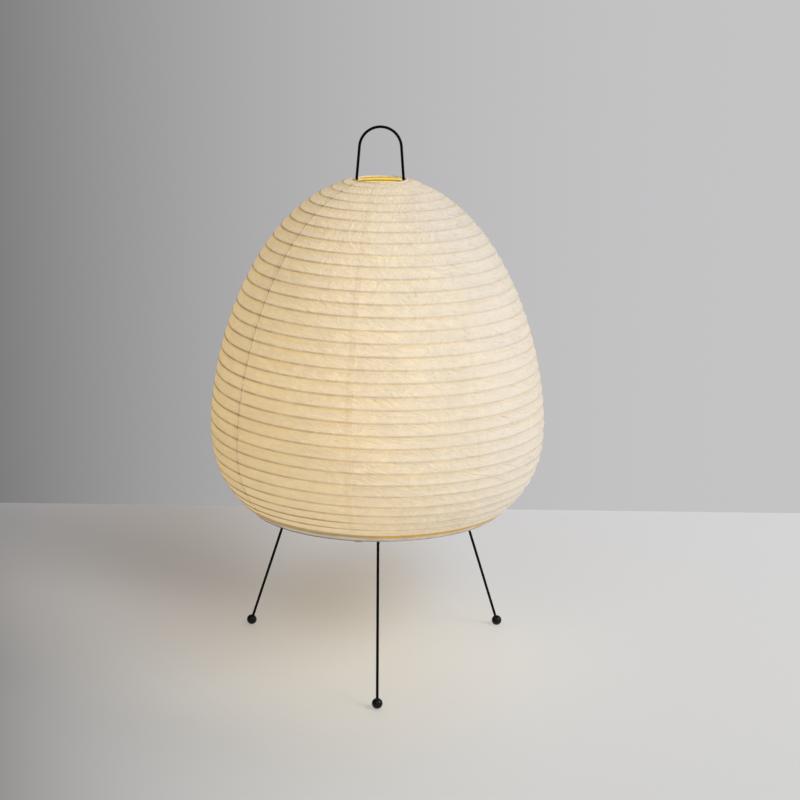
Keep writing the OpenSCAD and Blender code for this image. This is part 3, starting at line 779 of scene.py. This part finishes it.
finishes = {
    "black_wire": paintedMetal("blackWire", (0.0015, 0.0015, 0.0018), 0.45, 0.06),
    "foot_ball": paintedMetal("blackBall", (0.0012, 0.0012, 0.0014), 0.2, 0.22),
    "hub_black": paintedMetal("hubBlack", (0.004, 0.004, 0.0045), 0.42, 0.3),
    "plated_steel": metal("platedSteel", (0.62, 0.62, 0.63), 0.3),
    "contact_brass": metal("contactBrass", (0.76, 0.56, 0.26), 0.28),
    "holder_white": moulded("holderWhite", (0.80, 0.79, 0.75), 0.45),
    "holder_core": moulded("holderCore", (0.82, 0.80, 0.74), 0.7, 300),
    "bulb_cap": metal("bulbCap", (0.80, 0.80, 0.80), 0.25),
    "bulb_insulator": moulded("bulbInsulator", (0.012, 0.012, 0.014), 0.3),
    "bulb_body": moulded("bulbBody", (0.84, 0.84, 0.82), 0.4),
    "led_board": moulded("ledBoard", (0.80, 0.79, 0.72), 0.5),
    "bulb_diffuser": frosted("bulbDiffuser"),
    "ring_wire": metal("ringWire", (0.50, 0.48, 0.44), 0.4),
}
for part in frame["record"]["subparts"]:
    node = frame["nodes"][part["node"]]
    if part["material_slot"] in finishes:
        node.data.materials.clear()
        node.data.materials.append(finishes[part["material_slot"]])
print("frame finished")


# Table, wall and light
studio = {
    "tableBack": 0.515, "tableHalfWidth": 1.7, "tableFront": -1.9, "tableTones": (0.44, 0.46),
    "wallRadius": 2.75, "wallHeight": 6.0, "wallMiddle": 0.6, "wallSides": 96,
    "wallDark": -0.86, "wallBright": 1.06, "wallTone": 0.558, "wallFall": 0.345, "wallPower": 2.3,
    "wallLimit": 1.06, "wallGreen": 0.982,
    "softboxes": {
        "softboxRight": {"place": (2.0, -1.1, 1.8), "energy": 39, "colour": (1.0, 0.99, 1.0)},
        "softboxFront": {"place": (-0.6, -2.2, 1.9), "energy": 11, "colour": (1.0, 1.0, 1.0)},
    },
    "softboxSize": 1.6, "softboxAim": (0, 0, 0.25), "roomLight": 0.07,
    "bulbUp": {"place": (0, 0, 0.36), "energy": 0.13, "colour": (1.0, 0.74, 0.24)}, "bulbRadius": 0.03,
}
# Painted light on the table: a painted shadow behind the lamp, a painted pool of light, painted shade under the
# lamp, and painted darkness falling off to the left
paintedTableLight = {  # soft brightness of the table, in its own coordinates
    "shadow": ((-0.2, 0.398), (0.328, 1.0), 0.207),  # centre, half sizes and turn of each patch
    "pool": ((-0.328, 0.122), (0.22, 0.541), 0.797),
    "under": ((-0.005, 0.237), (0.26, 0.133), 1.433),
    "fall": (0.05, 0.413, 2.026), "least": 0.09,  # where the dark left begins, its skew and its power
    "tones": (  # red, green and blue: level, slope with depth, fall to the left, shadow, pool, under
        (0.4059, 0.088, 1.415, 0.154, 0.126, 0.074), (0.4051, 0.082, 1.419, 0.176, 0.119, 0.101),
        (0.4017, 0.088, 1.400, 0.199, 0.113, 0.128),
    ),
}


def tableMaterial():
    g = Graph("table")
    at = g.place()
    across, depth, _ = g.parts(at)
    edge, skew, power = paintedTableLight["fall"]
    # Painted darkness falling off to the left
    fall = (edge - across + skew * across * depth).math("MAXIMUM", 0) ** power
    shadow, pool, under = (g.patch(at, *paintedTableLight[name]) for name in ("shadow", "pool", "under"))
    tones = []
    for level, slope, falling, shaded, pooled, shadedUnder in paintedTableLight["tones"]:
        tone = level + slope * depth - falling * fall - shaded * shadow + pooled * pool - shadedUnder * under
        tones.append(tone.math("MAXIMUM", paintedTableLight["least"]))
    paintedLight = g.node("CombineColor", {}, dict(enumerate(tones)))
    specks = g.noise(at, 300, 3, 0.5)
    darker, paler = ((tone, tone, tone) for tone in studio["tableTones"])
    base = g.mix(specks, darker, paler)
    return g.set(
        Base_Color=base, Roughness=0.5 + 0.1 * specks, Emission_Color=paintedLight, Emission_Strength=1.0,
    )


def wallMaterial():  # brighter towards the key light's side
    g = Graph("wall")
    across = g.parts(g.place())[0]
    share = (across - studio["wallDark"]) / (studio["wallBright"] - studio["wallDark"])
    dark = (1 - share).math("MAXIMUM", 0).math("MINIMUM", studio["wallLimit"]) ** studio["wallPower"]
    tone = studio["wallTone"] - studio["wallFall"] * dark
    colour = g.node("CombineColor", {}, {0: tone, 1: tone * studio["wallGreen"], 2: tone})
    return g.set(
        Base_Color=(0, 0, 0), Roughness=1.0, Specular_IOR_Level=0,
        Emission_Color=colour, Emission_Strength=1.0,
    )


def addTable():
    heading = math.radians(camera["heading"])
    width, back, front = studio["tableHalfWidth"], studio["tableBack"], studio["tableFront"]
    bpy.ops.mesh.primitive_grid_add(x_subdivisions=2, y_subdivisions=2, size=2)
    table = bpy.context.object
    table.name = "table"
    for vertex in table.data.vertices:
        flat = Vector((vertex.co.x * width, front + (vertex.co.y + 1) / 2 * (back - front), 0))
        vertex.co = Matrix.Rotation(heading, 3, "Z") @ flat
    table.data.materials.append(tableMaterial())
    return table


def addWall():
    bpy.ops.mesh.primitive_cylinder_add(
        vertices=studio["wallSides"], radius=studio["wallRadius"], depth=studio["wallHeight"],
        end_fill_type="NOTHING", location=(0, 0, studio["wallMiddle"]),
    )
    wall = bpy.context.object
    wall.name = "wall"
    editMesh(wall, (bpy.ops.mesh.flip_normals, {}))
    wall.data.materials.append(wallMaterial())
    wall.visible_diffuse = False
    wall.visible_shadow = False
    return wall


def addLight(kind, name, place, energy, colour):
    bpy.ops.object.light_add(type=kind, location=place)
    light = bpy.context.object
    light.name = name
    light.data.energy = energy
    light.data.color = colour
    return light


def addLights():
    for name, settings in studio["softboxes"].items():
        softbox = addLight("AREA", name, **settings)
        softbox.data.shape = "DISK"
        softbox.data.size = studio["softboxSize"]
        softbox.visible_camera = False
        aim = Vector(studio["softboxAim"]) - Vector(settings["place"])
        softbox.rotation_euler = aim.to_track_quat("-Z", "Y").to_euler()
    bulb = addLight("POINT", "bulbUp", **studio["bulbUp"])
    bulb.data.shadow_soft_size = studio["bulbRadius"]
    world = bpy.data.worlds.new("studio")
    bpy.context.scene.world = world
    world.use_nodes = True
    room = world.node_tree.nodes["Background"].inputs
    room["Color"].default_value = (1.0, 1.0, 1.0, 1)
    room["Strength"].default_value = studio["roomLight"]
    bpy.context.scene.view_settings.view_transform = "Standard"


table = addTable()
wall = addWall()
addLights()
print("studio lit")

bpy.ops.object.select_all(action="DESELECT")
